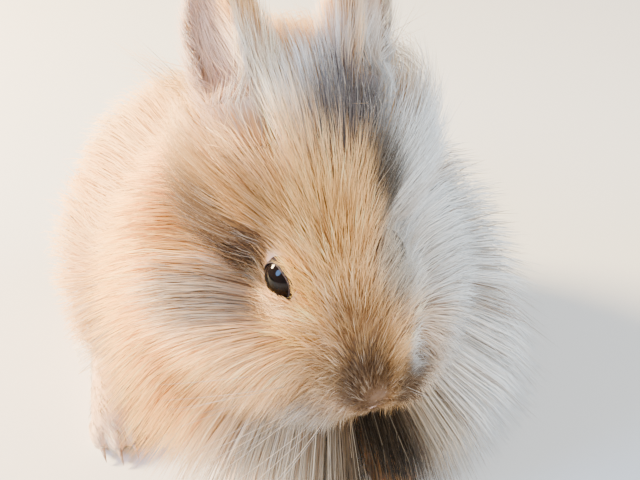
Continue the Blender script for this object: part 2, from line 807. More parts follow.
def scatter(shape, count, draws, weight=None):
    """Points spread over a shape's surface, thicker where the weight of a place is more."""
    builder = bmesh.new()
    shape(builder)
    bmesh.ops.triangulate(builder, faces=builder.faces)
    corners = np.array([[loop.vert.co[:] for loop in face.loops] for face in builder.faces])
    builder.free()
    crossed = np.cross(corners[:, 1] - corners[:, 0], corners[:, 2] - corners[:, 0])
    area = np.linalg.norm(crossed, axis=1)
    if weight is not None:
        area = area * weight(corners.mean(axis=1))
    picked = corners[draws.choice(len(corners), count, p=area / area.sum())]
    a = np.sqrt(draws.random(count))[:, None]
    b = draws.random(count)[:, None]
    return picked[:, 0] * (1 - a) + picked[:, 1] * a * (1 - b) + picked[:, 2] * a * b


def on_skin(tree, points, reach=0.0022):
    """Only the points that the skin shows, set on it. Those inside another part are dropped."""
    places, normals, far = nearest(tree, points)
    return places[far < reach]


def laid(tree, roots, flow, lengths, heights, stations, bend=0.75):
    """Spines that leave the skin at their roots, follow it along the flow, and end at a height above it."""
    places, normals, far = nearest(tree, roots)
    spines = [places - normals * ROOT_DEPTH]
    ups = [normals]
    for before, share in zip(stations, stations[1:]):
        heading = flow(places)
        heading = unit(heading - (heading * normals).sum(axis=1, keepdims=True) * normals)
        moved = places + heading * (lengths * (share - before))[:, None]
        places, normals, far = nearest(tree, moved)
        spines.append(places + normals * (heights * share**bend)[:, None])
        ups.append(normals)
    return np.stack(spines, axis=1), np.stack(ups, axis=1)


def unkinked(spines):
    """Which hairs have no sharp bend."""
    along = unit(np.diff(spines, axis=1))
    return ((along[:, 1:] * along[:, :-1]).sum(axis=2) > LEAST_COSINE).all(axis=1)


def flung(roots, normals, start, end, lengths, stations):
    """Spines that leave the skin one way and bend towards another, free of the skin."""
    share = stations[None, :, None]
    path = share * start[:, None] + 0.5 * share**2 * (end - start)[:, None]
    spines = (roots - ROOT_DEPTH * normals)[:, None] + lengths[:, None, None] * path
    ahead = rotate(neck_frame(), np.array((0.0, 0.0, 1.0)))
    return spines, unit(normals[:, None] * (1 - share) + ahead * share)


def outline_reach(outline, angles, drops=0.0):
    """Distance to a shifted ellipse from a centre dropped to the throat. Angle 0 looks to the nape."""
    (wide, deep), shift, drop = outline
    x, y = np.sin(angles), np.cos(angles)
    drop = drop - drops
    square = (x / wide) ** 2 + (y / deep) ** 2
    linear = y * drop / deep**2 - x * shift / wide**2
    constant = (drop / deep) ** 2 + (shift / wide) ** 2 - 1
    return (-linear + np.sqrt(linear * linear - square * constant)) / square


def fanned(angles, sweeps, radii, heights, drops, stations):
    """Spines that leave a centre outward, sweep round to the throat and lean back along the neck."""
    share = stations[None, :]
    turns = angles[:, None] + sweeps[:, None] * share**SWEEP_POWER
    reach = radii[0][:, None] + (radii[1] - radii[0])[:, None] * share**REACH_POWER
    along = heights[0][:, None] + (heights[1] - heights[0])[:, None] * share**BACK_POWER
    local = np.stack((np.sin(turns) * reach, np.cos(turns) * reach - drops[:, None], along), axis=-1)
    lean = FAN_LEAN * share
    ups = unit(np.stack((np.sin(turns) * lean, np.cos(turns) * lean, np.ones_like(turns)), axis=-1))
    return affine(neck_frame(), local), rotate(neck_frame(), ups)


def gathered(spines, stations, draws, hairs_per_tuft, pull):
    """Hairs drawn more and more to the nearest of a few leading ones, and each one's leader."""
    roots = spines[:, 0]
    leaders = draws.choice(len(roots), max(len(roots) // hairs_per_tuft, 1), replace=False)
    tree = KDTree(len(leaders))
    for i, leader in enumerate(leaders):
        tree.insert(roots[leader], i)
    tree.balance()
    mine = leaders[[tree.find(root)[1] for root in roots]]
    pulls = pull * draws.uniform(*PULL_SPREAD, len(roots))
    weight = np.clip(pulls[:, None] * stations[None, :] ** PULL_POWER, 0.0, MOST_PULL)[..., None]
    return spines + (spines[mine] - spines) * weight, mine


def ruffled(spines, stations, draws, amount):
    """Each hair bent a little its own way, most at its tip."""
    turn = draws.normal(0.0, amount, (len(spines), 1, 3))
    return spines + turn * stations[None, :, None] ** RUFFLE_POWER


def in_sight(points, side):
    """Offsets of points from an eye's sight, their lengths, the cone's radius there, and who is inside."""
    sight = np.array(head_frame().to_3x3() @ mirrored(EYE_SIGHT[side], side))
    offset = points - np.array(eye_frame(side).translation)
    ahead = offset @ sight
    out = offset - ahead[..., None] * sight
    far = np.linalg.norm(out, axis=-1)
    limit = SIGHT_RADIUS + SIGHT_GROWTH * np.maximum(ahead - SIGHT_START, 0.0)
    return out, far, limit, (far < limit) & (ahead > 0.0)


def clear_of_eyes(spines):
    """Hairs moved out of a cone in front of each eye, and whether each one stays clear of it."""
    kept = np.ones(len(spines), dtype=bool)
    for side in SIDES.values():
        out, far, limit, inside = in_sight(spines, side)
        kept &= ~((far < SIGHT_AT_RINGS * limit) & inside).any(axis=1)
        spines = spines + out * np.where(inside, limit / np.maximum(far, 1e-4) - 1.0, 0.0)[..., None]
        for share in BETWEEN_RINGS:
            between = spines[:, :-1] * (1 - share) + spines[:, 1:] * share
            out, far, limit, inside = in_sight(between, side)
            kept &= ~((far < SIGHT_BETWEEN * limit) & inside).any(axis=1)
    return spines, kept


def inside_box(spines):
    """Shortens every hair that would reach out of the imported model's box."""
    low, high = (np.array(corner) + sign * BOX_MARGIN for corner, sign in zip(CAD_BOX, (1, -1)))
    roots = np.clip(spines[:, :1], low, high)
    span = spines - spines[:, :1]
    room = np.where(span > 0, high - roots, low - roots)
    moves = np.abs(span) > TINY
    fits = np.where(moves, room / np.where(moves, span, 1.0), 1.0)
    return roots + span * np.clip(fits.min(axis=(1, 2)), 0.0, 1.0)[:, None, None]


def off_the_floor(spines, draws):
    """Hairs that would sink into the floor lie on it."""
    lowest = FLOOR_CLEAR + FLOOR_LAYER * draws.random(len(spines))[:, None]
    spines[..., 2] = np.maximum(spines[..., 2], lowest)
    return spines


def strand_mesh(name, spines, ups, widths, stations, tints, unwrapped, lead=0.0, seen_behind=False):
    """One mesh of three-sided tapered hairs, with each one's place in the markings, share along, and tint.

    Hair that is also seen from behind has its ridge there, with the shade of that side.
    """
    count, rings = spines.shape[0], spines.shape[1] - 1
    along = unit(np.gradient(spines, axis=1))
    side = unit(np.cross(along, ups))
    top = np.cross(side, along)
    facing = -1.0 if seen_behind else 1.0
    side, top = side * facing, top * facing
    near_root = 1 - stations[None, :-1]
    taper = widths[:, None] * near_root**TAPER_POWER * (ROOT_SHARE + SWELL * stations[None, :-1])
    half = taper[..., None]
    centre, side, top = spines[:, :-1], side[:, :-1], top[:, :-1]
    ring = np.stack((centre - side * half, centre + side * half, centre + top * half), axis=2)
    points = np.concatenate((ring.reshape(count, rings * 3, 3), spines[:, -1:]), axis=1)
    faces = [(0, 1, 2)]
    for i in range(rings - 1):
        for k in range(3):
            a, b = 3 * i + k, 3 * i + (k + 1) % 3
            faces += [(a, a + 3, b), (b, a + 3, b + 3)]
    tip = rings * 3
    faces += [(tip - 3 + k, tip, tip - 3 + (k + 1) % 3) for k in range(3)]
    per = tip + 1
    corners = (np.array(faces)[None] + per * np.arange(count)[:, None, None]).reshape(-1)
    mesh = bpy.data.meshes.new(name)
    mesh.vertices.add(count * per)
    mesh.vertices.foreach_set("co", points.astype(np.float32).ravel())
    mesh.loops.add(len(corners))
    mesh.polygons.add(len(corners) // 3)
    mesh.polygons.foreach_set("loop_start", np.arange(0, len(corners), 3, dtype=np.int32))
    mesh.polygons.foreach_set("vertices", corners.astype(np.int32))
    mesh.update(calc_edges=True)
    mesh.shade_smooth()
    lies = np.stack((ups[:, :-1], ups[:, :-1], facing * ups[:, :-1]), axis=2)
    faced = np.stack((-side, side, top), axis=2) * OWN_SHADE + lies * (1 - OWN_SHADE)
    end = along[:, -1:] if seen_behind else ups[:, -1:]
    shades = np.concatenate((unit(faced).reshape(count, rings * 3, 3), end), axis=1)
    mesh.normals_split_custom_set_from_vertices(shades.reshape(-1, 3).tolist())
    marked_at = spines[:, :1] + lead * (spines[:, -1:] - spines[:, :1])
    share = np.append(np.repeat(stations[:-1], 3), 1.0)
    marks = np.repeat(marked_at, per, axis=1).astype(np.float32)
    mesh.attributes.new("place", "FLOAT_VECTOR", "POINT").data.foreach_set("vector", marks.ravel())
    store(mesh, "share", np.tile(share, count))
    store(mesh, "tint", np.repeat(tints, per))
    across = np.append(np.tile((-0.5, 0.5, 0.0), rings), 0.0)
    patch = np.stack((np.tile(across, count), np.tile(share - 0.5, count)), axis=1) * PATCH
    flat = np.clip(np.repeat(unwrapped, per, axis=0), PATCH, 1 - PATCH) + patch
    mesh.uv_layers.new(name="OFBake").data.foreach_set("uv", flat[corners].astype(np.float32).ravel())
    made = bpy.data.objects.new(name, mesh)
    bpy.context.scene.collection.objects.link(made)
    return made


def store(mesh, name, values):
    mesh.attributes.new(name, "FLOAT", "POINT").data.foreach_set("value", values.astype(np.float32))


def around(place, low, high):
    """An unwrap about a frame's Z, from one height to another, with its seam at -Y."""

    def unwrap(points):
        local = affine(place.inverted(), points)
        u = np.arctan2(local[:, 0], local[:, 1]) / TAU + 0.5
        return np.stack((u, (local[:, 2] - low) / (high - low)), axis=1)

    return unwrap


def lengthwise(place):
    """A frame with its Z turned to face the nose, so that an unwrap about it has its seam underneath."""
    return place @ Matrix.Rotation(math.pi / 2, 4, "X")


def coat_pieces(name, spines, ups, tufts, width, stations, draws, unwrap, slot, lead, seen_behind=False):
    """Splits a part's hairs into pieces under the triangle limit, and dresses each one."""
    spines = inside_box(off_the_floor(spines, draws))
    widths = width * draws.uniform(*WIDTH_SPREAD, len(spines))
    shared = draws.normal(0.0, TUFT_TINT, tufts.max() + 1)
    tints = shared[tufts] + draws.normal(0.0, OWN_TINT, len(spines))
    tints *= 1 - CALM * smoothstep(*CALM_START, in_head(spines[:, 0])[:, 1])
    triangles_each = 6 * (len(stations) - 2) + 4
    pieces = math.ceil(len(spines) * triangles_each / PIECE_TRIANGLES)
    order = draws.permutation(len(spines))
    looks = coat_material()
    for n, chosen in enumerate(np.array_split(order, pieces)):
        made = strand_mesh(
            f"{name}_{n + 1}" if pieces > 1 else name,
            spines[chosen],
            ups[chosen],
            widths[chosen],
            stations,
            tints[chosen],
            unwrap(spines[chosen, 0]),
            lead,
            seen_behind,
        )
        dress(made, looks, slot)


# How the coat lies

# On the head, in its own frame: the point that hairs lead away from, how much they spread, lie back and turn
# out on the temples, and how much they fall. Each pair says where that starts and where it is complete
FLOW_SOURCE = NOSE_TIP + np.array((0.0, -0.004, -0.0015))
FLOW_SPREAD = 1.55
FLOW_BACK = 0.35
FLOW_OUT = 0.45
TEMPLE = (0.008, 0.022)
CHEEK_FALL = 0.9
CHEEK = (0.004, -0.018)
NAPE = (0.022, 0.042)

# On the body: how much it falls everywhere, behind the start of the rump and below that of the belly
BODY_FALL = 0.25
RUMP_START = 0.050
RUMP_FALL = 18
BELLY_START = 0.075
BELLY_FALL = 10

# Swirls of the body's coat: how strong they are, and their waves along y and z, and along z and x
WIDE_SWIRL = 0.18
WIDE_WAVES = (95, 60)
FINE_SWIRL = 0.12
FINE_WAVES = (210, 130)

# Heights between which a leg turns into its foot
ANKLE = (0.030, 0.014)
TAIL_WAY = np.array((0.0, 0.3, 1.0))


def head_flow(places):
    """The coat of the head lies away from the nose, spreads to the sides, and falls on cheeks and chin."""
    local = in_head(places)
    away = local - FLOW_SOURCE
    away[:, 0] *= FLOW_SPREAD
    away = unit(away) + np.array((0.0, FLOW_BACK, 0.0))
    away[:, 0] += FLOW_OUT * np.sign(local[:, 0]) * smoothstep(*TEMPLE, np.abs(local[:, 0]))
    world = rotate(head_frame(), away)
    world[:, 2] -= CHEEK_FALL * smoothstep(*CHEEK, local[:, 2])
    fall = smoothstep(*NAPE, local[:, 1])
    return world + rotate(head_frame(), np.array(((0.0, 0.0, -1.0),))) * fall[:, None]


def body_flow(places):
    """The coat of the body lies back, and down more and more towards the rump and the belly."""
    x, y, z = (places - np.array(HOME)).T
    rump = RUMP_FALL * np.maximum(0.0, y - RUMP_START)
    belly = BELLY_FALL * np.maximum(0.0, BELLY_START - z)
    wide = WIDE_SWIRL * np.sin(WIDE_WAVES[0] * y + WIDE_WAVES[1] * z)
    fine = FINE_SWIRL * np.sin(FINE_WAVES[0] * z - FINE_WAVES[1] * x)
    swirl = wide + fine
    return np.stack((np.sign(x) * swirl * 0.5, np.ones(len(x)), swirl - (BODY_FALL + rump + belly)), axis=1)


def leg_flow(places):
    """Short fur lies down the leg and forward along the foot."""
    foot = smoothstep(*ANKLE, (places - np.array(HOME))[:, 2])
    return np.stack((np.zeros(len(foot)), -foot, -1.05 + foot), axis=1)


def tail_flow(places):
    return np.broadcast_to(TAIL_WAY, places.shape)


def head_coat(local_y):
    """Depth of the head's coat at places along it."""
    rows = smooth_rows(HEAD_ROWS, 60)
    return np.interp(local_y, [row[0] for row in rows], [row[4] for row in rows])


def near_eyes(places):
    """Share of its height that the coat has: little at an eye's rim, and all away from it."""
    share = np.ones(len(places))
    for side in SIDES.values():
        share = np.minimum(share, smoothstep(*EYE_FUR, from_eye(places, side)))
    return RIM_HEIGHT + (1 - RIM_HEIGHT) * share


# Materials

# Tones of a hair: what darkens its root, lifts its tip, darkens ticked hairs, and lifts and warms lit ones
ROOT_TONE = (0.70, 0.59, 0.50)
TIP_LIFT = (0.14, 0.14, 0.14)
TICKED_TONE = (0.40, 0.30, 0.23)
LIT_LIFT = (0.30, 0.30, 0.30)
LIT_TONE = (0.98, 0.86, 0.68)
LIT_SHARE = 0.20

# Tints from which hairs are ticked or lit, and those at which they are so in full
TICKED_TINTS = (0.3, 2.2)
LIT_TINTS = (-0.6, -2.2)

# Clouds of fawn in the cream: their scale, the noise between which they grow, and how strong they are. They
# fray the patches' edges, which fade between two shares of a patch's half size
CLOUD_SCALE = 34.0
CLOUD_NOISE = (0.35, 0.70)
CLOUD_SHARE = 0.55
FRAYED = 0.2
PATCH_EDGE = (0.50, 1.20)

# Tones of the other surfaces
UNDER_COAT_TONE = (0.80, 0.68, 0.60)
VEIN_COLOUR = (0.62, 0.50, 0.50)
PUPIL_COLOUR = (0.002, 0.002, 0.002)
RAY_COLOUR = (0.006, 0.004, 0.004)
EYE_WHITE = (0.02, 0.016, 0.016)
LID_COLOURS = ((0.020, 0.015, 0.015), (0.060, 0.042, 0.040))
CLAW_STREAK = (0.6, 0.5, 0.45)
WHISKER_COLOURS = ((0.42, 0.33, 0.25), (0.80, 0.72, 0.62))
FLOOR_GRAIN = (0.96, 0.96, 0.96)

# Where pupil and iris end, as pairs of shares of the eye's radius
PUPIL_EDGE = (0.42, 0.50)
IRIS_EDGE = (0.88, 0.98)

# Patches of the coat: the head's or the body's own frame, centre, half sizes, colour and strength
PATCHES = (
    ("head", (0.025, 0.004, 0.012), (0.013, 0.036, 0.034), "ash", 0.80),
    ("body", (-0.048, -0.038, 0.085), (0.030, 0.052, 0.052), "peach", 0.85),
    ("body", (0.052, -0.010, 0.070), (0.040, 0.080, 0.070), "silver", 0.40),
    ("body", (0.049, -0.072, 0.079), (0.041, 0.056, 0.072), "silver", 0.95),
    ("head", (-0.009, -0.001, 0.027), (0.020, 0.024, 0.022), "fawn", 0.85),
    ("head", (-0.023, 0.014, 0.021), (0.014, 0.016, 0.013), "tan", 0.85),
    ("head", (-0.027, 0.017, 0.013), (0.011, 0.015, 0.012), "fawn", 0.70),
    ("head", (-0.031, 0.026, 0.014), (0.015, 0.021, 0.014), "tan", 0.90),
    ("head", (-0.038, 0.036, -0.004), (0.014, 0.014, 0.014), "tan", 0.85),
    ("head", (-0.006, 0.043, 0.037), (0.024, 0.017, 0.016), "pale", 0.85),
    ("head", (-0.026, 0.058, 0.028), (0.014, 0.028, 0.020), "rose", 0.75),
    ("head", (0.026, 0.062, 0.028), (0.014, 0.028, 0.020), "rose", 0.60),
    ("head", (0.015, -0.013, 0.015), (0.009, 0.016, 0.013), "ash", 0.80),
    ("head", (0.000, -0.026, 0.009), (0.0135, 0.017, 0.014), "tan", 0.75),
    ("head", (0.000, -0.040, 0.000), (0.0135, 0.014, 0.013), "brown", 0.92),
    ("head", (0.015, -0.044, -0.009), (0.012, 0.013, 0.012), "brown", 0.95),
    ("head", (-0.015, -0.036, 0.000), (0.008, 0.009, 0.008), "tan", 0.60),
    ("head", (-0.013, -0.040, -0.012), (0.010, 0.010, 0.008), "tan", 0.60),
    ("head", (0.0195, -0.034, -0.005), (0.009, 0.010, 0.008), "silver", 0.70),
    ("head", (0.029, 0.032, 0.017), (0.020, 0.034, 0.029), "silver", 0.85),
    ("head", (0.0080, 0.0460, 0.033), (0.014, 0.012, 0.016), "silver", 0.45),
    ("head", (0.0100, 0.0290, 0.031), (0.0150, 0.0155, 0.020), "smoke", 0.93),
    ("head", (0.0170, 0.0075, 0.027), (0.0080, 0.0160, 0.013), "umber", 0.95),
    ("head", (-0.037, -0.001, -0.008), (0.016, 0.019, 0.013), "ash", 0.80),
    ("head", (-0.0265, -0.012, -0.001), (0.0080, 0.009, 0.007), "tan", 0.80),
    ("head", (-0.0295, -0.003, -0.002), (0.0090, 0.010, 0.008), "tan", 0.75),
    ("head", (-0.0230, -0.001, 0.003), (0.0040, 0.005, 0.005), "umber", 0.70),
    ("head", (-0.0275, 0.0080, 0.0005), (0.0105, 0.0105, 0.0090), "brown", 0.97),
    ("head", (-0.0340, 0.0160, 0.0025), (0.0125, 0.0130, 0.0110), "brown", 0.97),
    ("head", (-0.0330, 0.0190, 0.0110), (0.0115, 0.0110, 0.0090), "brown", 0.90),
    ("head", (-0.0285, 0.0095, 0.0090), (0.0090, 0.0100, 0.0090), "brown", 0.80),
    ("head", (-0.0395, 0.0260, -0.0045), (0.0125, 0.0140, 0.0120), "brown", 0.70),
    ("head", (-0.0145, -0.0150, 0.0125), (0.0060, 0.0150, 0.0095), "apricot", 0.95),
    ("head", (-0.0215, -0.0250, 0.0005), (0.0085, 0.0090, 0.0075), "apricot", 0.85),
    ("head", (-0.0205, -0.0030, 0.0085), (0.0045, 0.0050, 0.0060), "silver", 0.70),
    ("body", (-0.020, -0.088, 0.047), (0.021, 0.036, 0.032), "ash", 0.90),
    ("body", (-0.062, -0.004, 0.045), (0.024, 0.045, 0.038), "ash", 0.40),
    ("body", (0.022, -0.086, 0.044), (0.012, 0.032, 0.026), "ash", 0.85),
    ("body", (0.026, -0.052, 0.028), (0.020, 0.034, 0.034), "pale", 0.80),
    ("body", (-0.026, -0.052, 0.028), (0.020, 0.034, 0.034), "pale", 0.80),
    ("body", (0.008, -0.055, 0.024), (0.019, 0.036, 0.036), "shade", 0.97),
    ("body", (0.005, -0.081, 0.036), (0.0190, 0.037, 0.036), "shade", 0.98),
    ("body", (0.000, -0.100, 0.066), (0.012, 0.012, 0.012), "shade", 0.80),
    ("body", (-0.080, -0.045, 0.035), (0.026, 0.060, 0.050), "fawn", 0.45),
    ("body", (0.060, 0.010, 0.000), (0.024, 0.090, 0.020), "pale", 0.85),
    ("body", (-0.060, 0.010, 0.000), (0.024, 0.090, 0.020), "pale", 0.85),
    ("body", (0.000, 0.120, 0.055), (0.026, 0.026, 0.034), "pale", 0.80),
)


def add_node(tree, kind, inputs=None, **choices):
    """A node with its choices set, and each input linked to a socket or given a value."""
    made = tree.nodes.new(kind)
    for name, value in choices.items():
        setattr(made, name, value)
    for name, value in (inputs or {}).items():
        if isinstance(value, bpy.types.NodeSocket):
            tree.links.new(value, made.inputs[name])
        else:
            made.inputs[name].default_value = value
    return made


def ranged(tree, value, low, high, start, end):
    inputs = {"Value": value, "From Min": low, "From Max": high, "To Min": start, "To Max": end}
    return add_node(tree, "ShaderNodeMapRange", inputs, interpolation_type="SMOOTHSTEP").outputs["Result"]


def opaque(colour):
    """A colour as a socket takes it, or the socket that already gives one."""
    if isinstance(colour, bpy.types.NodeSocket):
        return colour
    return (*colour, 1.0)


def mixed(tree, share, a, b, blend="MIX"):
    inputs = {0: share, 6: opaque(a), 7: opaque(b)}
    return add_node(tree, "ShaderNodeMix", inputs, data_type="RGBA", blend_type=blend).outputs[2]


def noise(tree, place, scale, detail=3.0):
    inputs = {"Vector": place, "Scale": scale, "Detail": detail}
    return add_node(tree, "ShaderNodeTexNoise", inputs).outputs["Fac"]


def attribute(tree, name, output):
    return add_node(tree, "ShaderNodeAttribute", attribute_name=name).outputs[output]


def object_place(tree):
    return add_node(tree, "ShaderNodeTexCoord").outputs["Object"]


def markings():
    """The group that skin and coat both read: the coat's colour at a place."""
    tree = bpy.data.node_groups.get("rabbit_markings")
    if tree:
        return tree
    tree = bpy.data.node_groups.new("rabbit_markings", "ShaderNodeTree")
    tree.interface.new_socket(name="Place", in_out="INPUT", socket_type="NodeSocketVector")
    tree.interface.new_socket(name="Colour", in_out="OUTPUT", socket_type="NodeSocketColor")
    colours = settings().colours
    place = tree.nodes.new("NodeGroupInput").outputs["Place"]
    cloudy = noise(tree, place, CLOUD_SCALE)
    colour = mixed(tree, ranged(tree, cloudy, *CLOUD_NOISE, 0.0, CLOUD_SHARE), colours.cream, colours.fawn)
    frames = {"head": head_frame(), "body": Matrix.Translation(HOME)}
    for frame_name, centre, size, named, strength in PATCHES:
        inputs = {
            "Vector": place,
            "Location": frames[frame_name] @ Vector(centre),
            "Rotation": frames[frame_name].to_euler(),
            "Scale": size,
        }
        local = add_node(tree, "ShaderNodeMapping", inputs, vector_type="TEXTURE").outputs[0]
        far = add_node(tree, "ShaderNodeVectorMath", {0: local}, operation="LENGTH").outputs["Value"]
        frayed = ranged(tree, cloudy, FRAYED, 1 - FRAYED, -FRAYED, FRAYED)
        edge = add_node(tree, "ShaderNodeMath", {0: far, 1: frayed}, operation="ADD").outputs[0]
        share = ranged(tree, edge, *PATCH_EDGE, strength, 0.0)
        colour = mixed(tree, share, colour, getattr(colours, named))
    out = tree.nodes.new("NodeGroupOutput")
    tree.links.new(colour, out.inputs["Colour"])
    return tree


def marked(tree, place):
    group = add_node(tree, "ShaderNodeGroup", node_tree=markings())
    tree.links.new(place, group.inputs["Place"])
    return group.outputs["Colour"]


def new_material(name, finish):
    """A material, its nodes and its shader, with the finish's constants on the shader's own sockets."""
    made = bpy.data.materials.new(name)
    made.use_nodes = True
    shader = made.node_tree.nodes["Principled BSDF"]
    for socket, value in finish.items():
        shader.inputs[socket].default_value = value
    return made, made.node_tree, shader


def bumped(tree, shader, height, strength, distance):
    bump = add_node(tree, "ShaderNodeBump", {"Height": height, "Strength": strength, "Distance": distance})
    tree.links.new(bump.outputs["Normal"], shader.inputs["Normal"])


def coat_material():
    """Hair, darker at its roots and paler at its tips, with the markings of the place that it covers."""
    made = bpy.data.materials.get("rabbit_coat")
    if made:
        return made
    made, tree, shader = new_material("rabbit_coat", {"Roughness": 0.60, "Specular IOR Level": 0.12})
    place = attribute(tree, "place", "Vector")
    share = attribute(tree, "share", "Fac")
    tint = attribute(tree, "tint", "Fac")
    colour = marked(tree, place)
    root = mixed(tree, 1.0, colour, ROOT_TONE, "MULTIPLY")
    tip = mixed(tree, 1.0, colour, TIP_LIFT, "DODGE")
    colour = mixed(tree, ranged(tree, share, 0.0, 0.90, 0.0, 1.0), root, tip)
    ticked = mixed(tree, 1.0, colour, TICKED_TONE, "MULTIPLY")
    colour = mixed(tree, ranged(tree, tint, *TICKED_TINTS, 0.0, 1.0), colour, ticked)
    lit = mixed(tree, LIT_SHARE, mixed(tree, 1.0, colour, LIT_LIFT, "DODGE"), LIT_TONE)
    colour = mixed(tree, ranged(tree, tint, *LIT_TINTS, 0.0, 1.0), colour, lit)
    tree.links.new(colour, shader.inputs["Base Color"])
    return made


def skin_material():
    """Skin under the coat: the coat's markings over warm skin, bare and pink at lip, eyes and ears."""
    made, tree, shader = new_material("rabbit_skin", {})
    place = object_place(tree)
    colour = mixed(tree, 1.0, marked(tree, place), UNDER_COAT_TONE, "MULTIPLY")
    pores = noise(tree, place, 900.0, 4.0)
    veins = ranged(tree, noise(tree, place, 160.0), 0.3, 0.7, 0.0, 0.5)
    bare = mixed(tree, veins, settings().colours.skin, VEIN_COLOUR)
    colour = mixed(tree, attribute(tree, "bare", "Fac"), colour, bare)
    tree.links.new(colour, shader.inputs["Base Color"])
    tree.links.new(ranged(tree, pores, 0.3, 0.7, 0.55, 0.8), shader.inputs["Roughness"])
    bumped(tree, shader, pores, 0.35, 0.0004)
    return made


def eye_material():
    """A near-black iris round a pupil, under a wet clear coat."""
    finish = {"Roughness": 0.08, "Specular IOR Level": 0.05, "Coat Weight": 0.20, "Coat Roughness": 0.01}
    made, tree, shader = new_material("rabbit_eye", finish)
    far = attribute(tree, "from_pupil", "Fac")
    rays = noise(tree, object_place(tree), 1400.0, 2.0)
    iris = mixed(tree, rays, settings().colours.iris, RAY_COLOUR)
    colour = mixed(tree, ranged(tree, far, *PUPIL_EDGE, 0.0, 1.0), PUPIL_COLOUR, iris)
    colour = mixed(tree, ranged(tree, far, *IRIS_EDGE, 0.0, 1.0), colour, EYE_WHITE)
    tree.links.new(colour, shader.inputs["Base Color"])
    return made


def lid_material():
    """Dark moist skin with a fine grain."""
    made, tree, shader = new_material("rabbit_lid", {"Specular IOR Level": 0.20})
    grain = noise(tree, object_place(tree), 1100.0, 3.0)
    colour = mixed(tree, ranged(tree, grain, 0.3, 0.7, 0.0, 1.0), *LID_COLOURS)
    tree.links.new(colour, shader.inputs["Base Color"])
    tree.links.new(ranged(tree, grain, 0.3, 0.7, 0.45, 0.60), shader.inputs["Roughness"])
    bumped(tree, shader, grain, 0.3, 0.0002)
    return made


def claw_material():
    """Horn with darker streaks."""
    made, tree, shader = new_material("rabbit_claw", {"Roughness": 0.35})
    streak = noise(tree, object_place(tree), 700.0, 2.0)
    horn = settings().colours.claw
    dark = mixed(tree, 1.0, horn, CLAW_STREAK, "MULTIPLY")
    colour = mixed(tree, ranged(tree, streak, 0.3, 0.7, 0.0, 1.0), horn, dark)
    tree.links.new(colour, shader.inputs["Base Color"])
    return made


def whisker_material():
    """Dark at the root and pale at the tip."""
    made, tree, shader = new_material("rabbit_whisker", {"Roughness": 0.35})
    colour = mixed(tree, attribute(tree, "share", "Fac"), *WHISKER_COLOURS)
    tree.links.new(colour, shader.inputs["Base Color"])
    return made


def floor_material():
    made, tree, shader = new_material("rabbit_floor", {"Roughness": 0.8})
    plain = settings().stage.floor_colour
    darker = mixed(tree, 1.0, plain, FLOOR_GRAIN, "MULTIPLY")
    colour = mixed(tree, noise(tree, object_place(tree), 3.0), plain, darker)
    tree.links.new(colour, shader.inputs["Base Color"])
    return made


# Pieces


class RABBIT_OT_skin(bpy.types.Operator):
    """Model the skin that stands for every node of flesh"""

    bl_idname = "rabbit.skin"
    bl_label = "Skin"

    def execute(self, context):
        skin = skin_object()
        places = np.empty(len(skin.data.vertices) * 3)
        skin.data.vertices.foreach_get("co", places)
        places = places.reshape(-1, 3)
        bare = 1.0 - smoothstep(*LIP_BARE, np.linalg.norm(in_head(places) - LIP_SPOT, axis=1))
        for side in SIDES.values():
            bare = np.maximum(bare, 1.0 - smoothstep(*EYE_RIM, from_eye(places, side)))
            bare = np.maximum(bare, CUP_BARE * self.in_cup(places, side))
        store(skin.data, "bare", bare)
        dress(skin, skin_material(), "skin", *FLESH_NODES)
        return {"FINISHED"}

    def in_cup(self, places, side):
        """How far a place lies towards an ear's mouth, inside the ear's length."""
        local = in_head(places) - np.array(mirrored(EAR_ROOT, side))
        axis = np.array(ear_axis(side))
        mouth = np.array(mirrored(EAR_MOUTH, side))
        out = mouth - mouth.dot(axis) * axis
        share = local @ axis / EAR_LENGTH
        inside = np.linalg.norm(local - (local @ axis)[:, None] * axis, axis=1) < CUP_RADIUS
        inside &= (share > CUP_SHARES[0]) & (share < CUP_SHARES[1])
        ahead = local @ (out / np.linalg.norm(out))
        return np.where(inside, smoothstep(*CUP_EDGE, ahead), 0.0)


